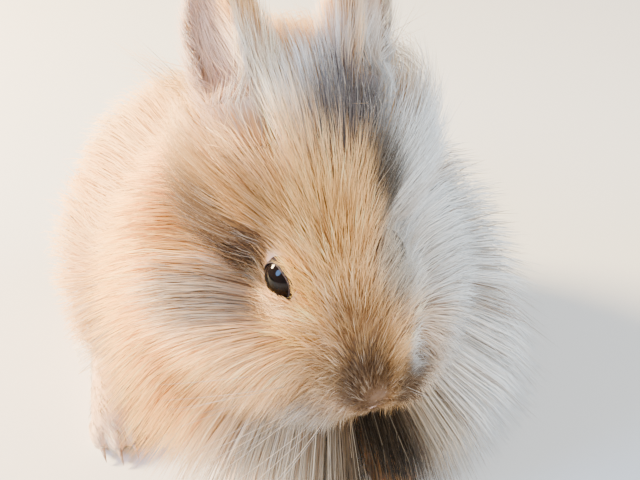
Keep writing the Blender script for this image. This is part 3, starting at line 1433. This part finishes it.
class RABBIT_OT_eyes(bpy.types.Operator):
    """Model both eyeballs and the bare rims of their lids"""

    bl_idname = "rabbit.eyes"
    bl_label = "Eyes and lids"

    def execute(self, context):
        look, rim = eye_material(), lid_material()
        radius = settings().sizes.eye_radius
        for word, side in SIDES.items():
            builder = bmesh.new()
            ball(builder, Matrix.Identity(4), (radius,) * 3, segments=48, rings=32)
            pupil = [math.hypot(vertex.co.x, vertex.co.y) / radius for vertex in builder.verts]
            for vertex in builder.verts:
                rise = max(0.0, vertex.co.z / radius - CORNEA_START)
                vertex.co.z += radius * CORNEA_RISE * rise * rise
            bmesh.ops.transform(builder, matrix=eye_frame(side), verts=builder.verts)
            eye = object_from(builder, f"eyeball_{word}")
            store(eye.data, "from_pupil", np.array(pupil))
            dress(eye, look, "eye", f"eye_{word}")
            dress(self.lid(word, side), rim, "skin")
        return {"FINISHED"}

    def lid(self, word, side):
        """A rounded rim, made of rings that are drawn into the opening's almond shape on the eyeball."""
        sizes = settings().sizes
        builder = bmesh.new()
        loops = []
        for outward, lift in LID_PROFILE:
            ring = bmesh.ops.create_circle(builder, segments=48, radius=1.0)["verts"]
            for vertex in ring:
                angle = math.atan2(vertex.co.y, vertex.co.x)
                pinch = 1 - LID_PINCH * abs(math.cos(angle)) ** 3
                x = (LID_OPENING[0] * pinch + outward) * math.cos(angle)
                y = (LID_OPENING[1] + outward) * math.sin(angle)
                depth = math.sqrt(max(sizes.eye_radius * sizes.eye_radius - x * x - y * y, 1e-8))
                vertex.co = Vector((x, y, depth + lift))
            loops.append(ring_edges(ring))
        for low, high in zip(loops, loops[1:]):
            bmesh.ops.bridge_loops(builder, edges=low + high)
        turn = Matrix.Rotation(math.radians(90), 4, "Z")
        bmesh.ops.transform(builder, matrix=eye_frame(side) @ turn, verts=builder.verts)
        made = object_from(builder, f"lid_{word}")
        wall = made.modifiers.new("Wall", "SOLIDIFY")
        wall.thickness = sizes.lid_thickness
        wall.offset = -1.0
        bpy.context.view_layer.update()
        apply_modifiers(made)
        return made


class RABBIT_OT_claws(bpy.types.Operator):
    """Model a curved claw at the end of every toe"""

    bl_idname = "rabbit.claws"
    bl_label = "Claws"

    def execute(self, context):
        look = claw_material()
        for word, side in SIDES.items():
            for name, toes in (("fore", FORE_TOES), ("hind", HIND_TOES)):
                builder = bmesh.new()
                for x, y in toes:
                    root = Vector((side * x, y - CLAW_ROOT[0] * TOE_SIZE[1], TOE_SIZE[2] * CLAW_ROOT[1]))
                    self.claw(builder, HOME + root)
                dress(object_from(builder, f"claws_{name}_{word}"), look, "claw")
        return {"FINISHED"}

    def claw(self, builder, root):
        """A thin horn that leaves the toe forward and bends to the floor."""
        length = settings().sizes.claw_length
        shares = [i / (CLAW_RINGS - 1) for i in range(CLAW_RINGS)]
        centres = []
        for share in shares:
            bend = CLAW_BEND * share
            ahead = length * math.sin(bend) / CLAW_BEND
            drop = length * (1 - math.cos(bend)) / CLAW_BEND
            centres.append(root + Vector((0.0, -ahead, -drop)))
        widths = [CLAW_RADIUS * (1 - CLAW_TAPER * share**CLAW_POWER) for share in shares]
        loft(builder, centres, widths, widths, sides=10)


# Whiskers on each pad: rows and whiskers in a row, rings, the first one's root and way, what a step along a
# row or a row down adds to each of these, how they sag, and the scatter of way, length and sag
WHISKER_ROWS = 4
WHISKERS_IN_ROW = 4
WHISKER_RINGS = 9
WHISKER_ROOT = np.array((0.0085, -0.0440, -0.0060))
WHISKER_WAY = np.array((1.0, -0.55, 0.10))
ROOT_STEPS = (np.array((0.0022, 0.0035, 0.0)), np.array((0.0, 0.0, -0.0030)))
WAY_STEPS = (np.array((0.25, 0.22, 0.0)), np.array((0.0, 0.0, -0.16)))
WHISKER_SAG = np.array((0.0, 0.12, -0.30))
SAG_STEP = np.array((0.0, 0.0, 0.06))
WAY_SCATTER = 0.13
LENGTH_SPREAD = (0.72, 1.0)
SAG_SPREAD = (0.6, 1.3)


class RABBIT_OT_whiskers(bpy.types.Operator):
    """Model the long whiskers of both pads"""

    bl_idname = "rabbit.whiskers"
    bl_label = "Whiskers"

    def execute(self, context):
        draws = draws_for("whiskers")
        look = whisker_material()
        width = settings().sizes.whisker_width / 2
        stations = np.linspace(0.0, 1.0, WHISKER_RINGS)
        for word, side in SIDES.items():
            spines = [
                self.whisker(side, row, i, stations[:, None], draws)
                for row in range(WHISKER_ROWS)
                for i in range(WHISKERS_IN_ROW)
            ]
            spines = inside_box(np.array(spines))
            count = len(spines)
            ups = np.broadcast_to(np.array((0.0, 0.0, 1.0)), spines.shape)
            flat = np.stack((np.linspace(0.1, 0.9, count), np.full(count, 0.5)), axis=1)
            made = strand_mesh(
                f"whiskers_{word}", spines, ups, np.full(count, width), stations, np.zeros(count), flat
            )
            dress(made, look, "face_fur")
        return {"FINISHED"}

    def whisker(self, side, row, i, share, draws):
        """One whisker's spine, straight out of its root and sagging to its tip."""
        facing = np.array((side, 1.0, 1.0))
        root = (WHISKER_ROOT + ROOT_STEPS[0] * i + ROOT_STEPS[1] * row) * facing
        out = unit((WHISKER_WAY + WAY_STEPS[0] * i + WAY_STEPS[1] * row) * facing)
        out = unit(out + draws.normal(0.0, WAY_SCATTER, 3))
        length = settings().sizes.whisker_length * draws.uniform(*LENGTH_SPREAD)
        sag = (WHISKER_SAG + SAG_STEP * row) * draws.uniform(*SAG_SPREAD)
        return affine(head_frame(), root + out * length * share + sag * length * share**2)


def laid_coat(
    name, shape, count, weight, flow, size_of, stations, width, unwrap, slot, tuft=(9, 0.45), bend=0.0006
):
    """Hairs rooted all over a shape, that follow the skin along a flow."""
    draws = draws_for(name)
    tree = skin_tree()
    roots = on_skin(tree, scatter(shape, count, draws, weight))
    lengths, heights = size_of(roots, draws)
    spines, ups = laid(tree, roots, flow, lengths, heights, stations)
    spines, tufts = gathered(spines, stations, draws, *tuft)
    spines, kept = clear_of_eyes(ruffled(spines, stations, draws, bend))
    kept &= unkinked(spines)
    coat_pieces(
        name, spines[kept], ups[kept], tufts[kept], width, stations, draws, unwrap, slot, lead=0.75
    )


def fanned_coat(name, count, fan, outline, width, slot):
    """Long hairs that stand out all round the neck, from the front row of a fan to the back one."""
    draws = draws_for(name)
    deep = draws.random(count)
    start, end, share, drops, root_drops, wide, tall, opened, parted = (
        low + (high - low) * deep for low, high in zip(*fan)
    )
    angles = (opened + (math.pi - opened - parted) * draws.random(count)) * draws.choice((-1.0, 1.0), count)
    angles -= THROAT_TURN * (np.abs(angles) / math.pi) ** 3
    waves = FAN_SWEEP + FAN_SWING * np.sin(FAN_WAVES * angles + 1.0) + draws.normal(0.0, FAN_SCATTER, count)
    sweeps = np.sin(angles) * waves
    from_cheek = (np.degrees(angles) - CHEEK_ANGLE) / CHEEK_SPREAD
    fuller = 1 + FULL_CHEEK * np.exp(-(from_cheek**2))
    uneven = LONGEST_REACH - REACH_SPREAD * draws.random(count) ** 1.6
    reach = outline_reach(outline, angles + sweeps, drops) * share * fuller * uneven
    roots = outline_reach(((wide, tall), 0.0, root_drops), angles, drops) * draws.uniform(*FAN_ROOTS, count)
    spines, ups = fanned(angles, sweeps, (roots, reach), (start, end), drops, LONG_STATIONS)
    spines, tufts = gathered(spines, LONG_STATIONS, draws, 14, settings().coat.gather)
    spines, kept = clear_of_eyes(ruffled(spines, LONG_STATIONS, draws, 0.0016))
    unwrap = around(neck_frame(), NECK_RINGS[0], 0.036)
    coat_pieces(
        name, spines[kept], ups[kept], tufts[kept], width, LONG_STATIONS, draws, unwrap, slot,
        lead=0.6, seen_behind=True,
    )


def flung_coat(name, count, weight, ends_of, lengths_of, rise, width, unwrap, slot):
    """Hairs of the muzzle that grow longer away from the nose and fall over the cheeks."""
    draws = draws_for(name)
    tree = skin_tree()
    roots, normals, far = nearest(tree, on_skin(tree, scatter(head_shape, count, draws, weight)))
    flow = head_flow(roots)
    flow = unit(flow - (flow * normals).sum(axis=1, keepdims=True) * normals)
    lift = rise * draws.uniform(0.5, 1.2, len(roots))[:, None]
    lengths = lengths_of(roots) * draws.uniform(0.7, 1.1, len(roots))
    start = unit(flow + lift * normals)
    spines, ups = flung(roots, normals, start, ends_of(roots), lengths, MIDDLE_STATIONS)
    spines, tufts = gathered(spines, MIDDLE_STATIONS, draws, 9, 0.25)
    spines, kept = clear_of_eyes(ruffled(spines, MIDDLE_STATIONS, draws, 0.0010))
    coat_pieces(
        name, spines[kept], ups[kept], tufts[kept], width, MIDDLE_STATIONS, draws, unwrap, slot, lead=0.75
    )


# Where the crown's coat starts behind the nose and above the jaw, in the head's frame
CROWN_FRONT = (-0.034, -0.018)
CROWN_LOW = (-0.012, -0.002)

# How far ahead a hair looks for the coat's depth at its tip, as a share of its length
TIP_AHEAD = 0.6


def crown_share(places):
    """1 on forehead and crown, 0 on muzzle and jaw."""
    local = in_head(places)
    return smoothstep(*CROWN_FRONT, local[:, 1]) * smoothstep(*CROWN_LOW, local[:, 2])


def off_the_eyes(places):
    """0 within the lids and 1 outside them."""
    share = np.ones(len(places))
    for side in SIDES.values():
        local = affine(eye_frame(side).inverted(), places)
        inside = (np.hypot(local[:, 0], local[:, 1]) < EYE_BARE) & (local[:, 2] > -0.002)
        share = np.where(inside, 0.0, share)
    return share


def head_unwrap():
    return around(lengthwise(head_frame()), -HEAD_ROWS[-1][0], -HEAD_ROWS[0][0])


# Muzzle: where its short coat ends, how much thicker the nose's is and to where, and its shortest hair
MUZZLE_END = (0.000, 0.015)
NOSE_THICKER = 6.0
NOSE_END = (-0.044, -0.032)
MUZZLE_SHORTEST = 0.0020

# Pads: where their coat ends, how far out it starts, and how it rises. Its hairs grow with the distance from
# the nose by the slope, from the shortest to the longest, but less under the chin
PAD_END = (-0.006, 0.004)
PAD_SIDES = (0.002, 0.007)
PAD_RISE = 0.70
PAD_NEAR = 0.005
PAD_SLOPE = 1.05
PAD_SHORTEST = 0.0020
PAD_LENGTHS = (0.002, 0.034)
CHIN_UNDER = (-0.010, -0.020)
CHIN_SIDES = (0.006, 0.012)
CHIN_SHORTER = 0.6

# Where the pads' hairs end: away from a centre dropped this far below the neck's axis, back and down
PAD_CENTRE_DROP = 0.046
PAD_BACK = -0.012
PAD_FALL = 0.30


class RABBIT_OT_muzzle(bpy.types.Operator):
    """Lay the short fine hairs of nose, lips and jaw"""

    bl_idname = "rabbit.muzzle"
    bl_label = "Muzzle coat"

    def execute(self, context):
        coat = settings().coat
        laid_coat(
            "muzzle_coat", head_shape, coat.muzzle_hairs, self.weight, head_flow, self.sizes,
            SHORT_STATIONS, coat.fine_width, head_unwrap(), "face_fur", tuft=(6, 0.25), bend=0.0003,
        )
        flung_coat(
            "pad_coat", coat.pad_hairs, self.pad_weight, self.pad_ends, self.pad_lengths, PAD_RISE,
            coat.fine_width, head_unwrap(), "face_fur",
        )
        return {"FINISHED"}

    def weight(self, places):
        local = in_head(places)
        front = 1 - smoothstep(*MUZZLE_END, local[:, 1])
        nose = 1 + NOSE_THICKER * (1 - smoothstep(*NOSE_END, local[:, 1]))
        return (1 - 0.8 * crown_share(places)) * front * nose * off_the_eyes(places)

    def pad_weight(self, places):
        """Sides of the muzzle and cheeks, but neither the bridge nor the chin's middle."""
        local = in_head(places)
        front = 1 - smoothstep(*PAD_END, local[:, 1])
        sides = smoothstep(*PAD_SIDES, np.abs(local[:, 0]))
        return (1 - crown_share(places)) * front * sides * off_the_eyes(places)

    def pad_lengths(self, roots):
        local = in_head(roots)
        far = np.linalg.norm(local - NOSE_TIP, axis=1)
        under = smoothstep(*CHIN_UNDER, local[:, 2]) * (1 - smoothstep(*CHIN_SIDES, np.abs(local[:, 0])))
        grown = PAD_SHORTEST + PAD_SLOPE * (far - PAD_NEAR)
        return np.clip(grown, *PAD_LENGTHS) * (1 - CHIN_SHORTER * under)

    def pad_ends(self, roots):
        """Away from the nose as seen along the neck, back, and down."""
        local = affine(neck_frame().inverted(), roots)
        back = np.full(len(roots), PAD_BACK)
        away = unit(np.stack((local[:, 0], local[:, 1] + PAD_CENTRE_DROP, back), axis=1))
        return unit(rotate(neck_frame(), away) + np.array((0.0, 0.0, -PAD_FALL)))

    def sizes(self, roots, draws):
        local = in_head(roots)
        coat = head_coat(local[:, 1])
        lengths = (MUZZLE_SHORTEST + 0.80 * coat) * draws.uniform(0.7, 1.1, len(roots))
        tip = head_coat(local[:, 1] + TIP_AHEAD * lengths)
        heights = tip * draws.uniform(0.5, 0.95, len(roots)) * near_eyes(roots)
        return lengths, heights


# Crown: its shortest hair, the share of the coat's depth that it adds at the brow, and what the back adds
CROWN_SHORTEST = 0.004
BROW_SHARE = 0.70
BACK_LONGER = 0.45
BROW_TO_BACK = (0.000, 0.026)

# Where it stands fuller, as pairs in the head's frame: x and y of the brow's left, y and x of the top's
# middle, and x and y of the top's left
FULLER_TOP = 0.30
BROW_LEFT = ((0.006, 0.020), (-0.010, 0.012))
TOP_MIDDLE = ((0.022, 0.036), (0.008, 0.016))
TOP_LEFT = ((0.012, 0.020), (0.010, 0.024))


class RABBIT_OT_crown(bpy.types.Operator):
    """Lay the longer hairs of forehead and crown"""

    bl_idname = "rabbit.crown"
    bl_label = "Crown coat"

    def execute(self, context):
        coat = settings().coat
        laid_coat(
            "crown_coat", head_shape, coat.crown_hairs, self.weight, head_flow, self.sizes,
            MIDDLE_STATIONS, coat.fine_width, head_unwrap(), "face_fur", tuft=(6, 0.20), bend=0.0016,
        )
        return {"FINISHED"}

    def weight(self, places):
        return crown_share(places) * off_the_eyes(places)

    def sizes(self, roots, draws):
        local = in_head(roots)
        x, y = local[:, 0], local[:, 1]
        longer = BROW_SHARE + BACK_LONGER * smoothstep(*BROW_TO_BACK, y)
        lengths = (CROWN_SHORTEST + longer * head_coat(y)) * draws.uniform(0.75, 1.15, len(roots))
        tip = head_coat(y + TIP_AHEAD * lengths)
        fuller = 1 + FULLER_TOP * smoothstep(*BROW_LEFT[0], x) * smoothstep(*BROW_LEFT[1], y)
        fuller += FULLER_TOP * smoothstep(*TOP_MIDDLE[0], y) * (1 - smoothstep(*TOP_MIDDLE[1], np.abs(x)))
        fuller += FULLER_TOP * smoothstep(*TOP_LEFT[0], x) * smoothstep(*TOP_LEFT[1], y)
        return lengths, tip * fuller * draws.uniform(0.80, 1.0, len(roots)) * near_eyes(roots)


class RABBIT_OT_mane(bpy.types.Operator):
    """Fan the long hairs of cheek ruff and mane about the neck"""

    bl_idname = "rabbit.mane"
    bl_label = "Ruff and mane"

    def execute(self, context):
        coat = settings().coat
        cheek_width = coat.fine_width * LONG_FINE_WIDTH
        fanned_coat("cheek_coat", coat.cheek_hairs, CHEEK_FAN, RUFF_OUTLINE, cheek_width, "mane")
        fanned_coat("ruff_coat", coat.ruff_hairs, RUFF_FAN, RUFF_OUTLINE, coat.long_width, "mane")
        fanned_coat("mane_coat", coat.mane_hairs, MANE_FAN, MANE_OUTLINE, coat.long_width, "mane")
        return {"FINISHED"}


# Lengths of the hair of back, thighs and tail
BACK_HAIR = 0.050
THIGH_HAIR = 0.032
TAIL_HAIR = 0.020


class RABBIT_OT_body(bpy.types.Operator):
    """Lay the coat of back, flanks, thighs and tail"""

    bl_idname = "rabbit.body"
    bl_label = "Body coat"

    def execute(self, context):
        coat = settings().coat
        low, high = TORSO_ROWS[0][0], TORSO_ROWS[-1][0]
        middle = Matrix.Translation(HOME + Vector((0.0, 0.0, TORSO_ROWS[4][1])))
        laid_coat(
            "back_coat", torso_shape, coat.back_hairs, None, body_flow, self.sizes(BACK_HAIR, TORSO_COAT),
            MIDDLE_STATIONS, coat.long_width, around(lengthwise(middle), -high, -low), "coat",
            tuft=(14, 0.45), bend=0.0025,
        )
        for word, side in SIDES.items():
            unwrap = around(lengthwise(thigh_frame(side)), -THIGH_SIZE[1], THIGH_SIZE[1])
            laid_coat(
                f"thigh_coat_{word}", lambda builder: thigh_shape(builder, side), coat.thigh_hairs // 2,
                None, body_flow, self.sizes(THIGH_HAIR, THIGH_COAT), MIDDLE_STATIONS, coat.long_width,
                unwrap, "coat", tuft=(12, 0.45), bend=0.002,
            )
        unwrap = around(tail_frame(), -TAIL_SIZE[2], TAIL_SIZE[2])
        laid_coat(
            "tail_coat", tail_shape, coat.tail_hairs, None, tail_flow, self.sizes(TAIL_HAIR, TAIL_COAT),
            MIDDLE_STATIONS, coat.fine_width * LONG_FINE_WIDTH, unwrap, "pale_fur", bend=0.002,
        )
        return {"FINISHED"}

    def sizes(self, length, coat):
        def size_of(roots, draws):
            lengths = length * draws.uniform(0.55, 1.1, len(roots))
            return lengths, coat * draws.uniform(0.80, 1.15, len(roots))

        return size_of


# Length and height of the fur of legs and feet and of an ear's tip, what the wool at its root adds to them,
# and the shares of the ear's length between which that thins out
SHORT_FUR = (0.0058, 0.0012)
EAR_TIP_FUR = (0.0060, 0.0016)
EAR_WOOL = (0.0120, 0.0062)
WOOL_SHARES = (0.10, 0.95)

# Hairs of both hind feet and of both forelegs, as tenths of those of the legs, and the unwraps' ends
FOOT_TENTHS = 3
FORELEG_TENTHS = 2
FOOT_ENDS = (-0.080, 0.015)
FORELEG_ENDS = (0.0, 0.075)


class RABBIT_OT_legs(bpy.types.Operator):
    """Lay the short fur of legs, feet and ears"""

    bl_idname = "rabbit.legs"
    bl_label = "Coat of legs and ears"

    def execute(self, context):
        coat = settings().coat
        for word, side in SIDES.items():
            foot = HOME + Vector((side * FOOT_ROWS[3][0], 0.0, FOOT_ROWS[3][2]))
            leg = HOME + Vector((side * FORELEG_ROWS[3][0], FORELEG_ROWS[3][1], 0.0))
            self.short_coat(
                f"foot_coat_{word}", lambda builder: limb(builder, FOOT_ROWS, HIND_TOES, side),
                coat.leg_hairs * FOOT_TENTHS // 10,
                around(lengthwise(Matrix.Translation(foot)), *FOOT_ENDS),
            )
            self.short_coat(
                f"foreleg_coat_{word}", lambda builder: limb(builder, FORELEG_ROWS, FORE_TOES, side),
                coat.leg_hairs * FORELEG_TENTHS // 10,
                around(Matrix.Translation(leg), *FORELEG_ENDS),
            )
            axis = ear_directions(side)[0]
            turn = axis.to_track_quat("Z", "Y").to_matrix().to_4x4()
            root = head_frame() @ mirrored(EAR_ROOT, side)
            unwrap = around(Matrix.Translation(root) @ turn, 0.0, EAR_LENGTH)
            laid_coat(
                f"ear_coat_{word}", lambda builder: self.ear(builder, side), coat.ear_hairs // 2, None,
                lambda places: np.broadcast_to(np.array(axis), places.shape), self.ear_sizes,
                SHORT_STATIONS, coat.fine_width, unwrap, "face_fur", tuft=(8, 0.25), bend=0.0008,
            )
        return {"FINISHED"}

    def short_coat(self, name, shape, count, unwrap):
        laid_coat(
            name, shape, count, None, leg_flow, self.sizes, SHORT_STATIONS, settings().coat.fine_width,
            unwrap, "pale_fur", tuft=(6, 0.30), bend=0.0004,
        )

    def sizes(self, roots, draws):
        length, height = SHORT_FUR
        lengths = length * draws.uniform(0.7, 1.2, len(roots))
        return lengths, height * draws.uniform(0.5, 1.0, len(roots))

    def ear_sizes(self, roots, draws):
        """Woolly at the root of an ear and short at its tip."""
        share = (in_head(roots) - np.array(EAR_ROOT)) @ np.array(EAR_AXIS) / EAR_LENGTH
        wool = 1 - smoothstep(*WOOL_SHARES, share)
        lengths = (EAR_TIP_FUR[0] + EAR_WOOL[0] * wool) * draws.uniform(0.7, 1.15, len(roots))
        return lengths, (EAR_TIP_FUR[1] + EAR_WOOL[1] * wool) * draws.uniform(0.4, 1.0, len(roots))

    def ear(self, builder, side):
        """Both faces of an ear: its back and the inside of its cup."""
        ear_outside(builder, side)
        ear_cup(builder, side)


# Lamps: name, place, size and power. Each one's colour is in the settings
LAMPS = (
    ("sun", (-0.90, 0.82, 0.62), 0.34, 148.0),
    ("sky", (0.95, -0.60, 0.95), 1.1, 26.0),
    ("front", (-0.40, -1.15, 1.05), 0.9, 15.0),
    ("window", (-0.90, -0.16, 0.63), 0.40, 15.0),
)
WORLD_COLOUR = (0.98, 0.97, 0.96, 1.0)
WORLD_STRENGTH = 0.42


class RABBIT_OT_stage(bpy.types.Operator):
    """Set the floor, the lights and the camera"""

    bl_idname = "rabbit.stage"
    bl_label = "Stage"

    def execute(self, context):
        stage = settings().stage
        builder = bmesh.new()
        bmesh.ops.create_circle(builder, cap_ends=True, segments=96, radius=stage.floor_radius)
        floor = object_from(builder, "floor")
        floor.data.materials.append(floor_material())
        self.world()
        for name, place, size, power in LAMPS:
            self.lamp(name, Vector(place), size, power, getattr(stage, f"{name}_colour"))
        self.camera()
        return {"FINISHED"}

    def world(self):
        world = bpy.data.worlds.new("studio")
        world.use_nodes = True
        background = world.node_tree.nodes["Background"]
        background.inputs["Color"].default_value = WORLD_COLOUR
        background.inputs["Strength"].default_value = WORLD_STRENGTH
        bpy.context.scene.world = world

    def lamp(self, name, place, size, power, colour):
        """A round lamp that looks at the head."""
        light = bpy.data.lights.new(name, "AREA")
        light.shape = "DISK"
        light.size = size
        light.energy = power
        light.color = colour
        made = bpy.data.objects.new(name, light)
        turn = (HOME + HEAD_CENTRE - place).to_track_quat("-Z", "Y").to_matrix().to_4x4()
        made.matrix_world = Matrix.Translation(place) @ turn
        bpy.context.scene.collection.objects.link(made)

    def camera(self):
        stage = settings().stage
        heading, dip, roll = stage.camera_heading, stage.camera_dip, stage.camera_roll
        level = Vector((math.sin(heading) * math.cos(dip), math.cos(heading) * math.cos(dip), 0.0))
        ahead = level - Vector((0.0, 0.0, math.sin(dip)))
        right = Vector((math.cos(heading), -math.sin(heading), 0.0))
        up = right.cross(ahead)
        across = math.cos(roll) * right + math.sin(roll) * up
        above = math.cos(roll) * up - math.sin(roll) * right
        lens = bpy.data.cameras.new("camera")
        lens.sensor_width = SENSOR_WIDTH
        lens.lens = stage.focal_pixels / CAMERA_PIXELS * SENSOR_WIDTH
        lens.clip_start = 0.01
        made = bpy.data.objects.new("camera", lens)
        turn = Matrix((across, above, -ahead)).transposed().to_4x4()
        made.matrix_world = Matrix.Translation(Vector(stage.camera_place) + HOME) @ turn
        bpy.context.scene.collection.objects.link(made)
        bpy.context.scene.camera = made


# Panel and registration


class RABBIT_PT_panel(bpy.types.Panel):
    """Lists the settings and the pieces"""

    bl_idname = "RABBIT_PT_panel"
    bl_label = "Lionhead rabbit"
    bl_space_type = "VIEW_3D"
    bl_region_type = "UI"
    bl_category = "Rabbit"

    def draw(self, context):
        for group in ("sizes", "coat", "colours", "stage"):
            box = self.layout.box()
            box.label(text=group.title())
            values = getattr(settings(), group)
            for name in values.__annotations__:
                box.prop(values, name)
        for operator in OPERATORS:
            self.layout.operator(operator.bl_idname)


GROUPS = (RabbitSizes, RabbitCoat, RabbitColours, RabbitStage, RabbitSettings)
OPERATORS = (
    RABBIT_OT_skin,
    RABBIT_OT_eyes,
    RABBIT_OT_muzzle,
    RABBIT_OT_crown,
    RABBIT_OT_mane,
    RABBIT_OT_body,
    RABBIT_OT_legs,
    RABBIT_OT_whiskers,
    RABBIT_OT_claws,
    RABBIT_OT_stage,
)


def register():
    for made in (*GROUPS, *OPERATORS, RABBIT_PT_panel):
        bpy.utils.register_class(made)
    bpy.types.Scene.lionhead_rabbit = PointerProperty(type=RabbitSettings)


def unregister():
    del bpy.types.Scene.lionhead_rabbit
    for made in (RABBIT_PT_panel, *reversed(OPERATORS), *reversed(GROUPS)):
        bpy.utils.unregister_class(made)


def main():
    register()
    bpy.ops.rabbit.skin()
    bpy.ops.rabbit.eyes()
    bpy.ops.rabbit.muzzle()
    bpy.ops.rabbit.crown()
    bpy.ops.rabbit.mane()
    bpy.ops.rabbit.body()
    bpy.ops.rabbit.legs()
    bpy.ops.rabbit.whiskers()
    bpy.ops.rabbit.claws()
    bpy.ops.rabbit.stage()


if __name__ == "__main__":
    main()
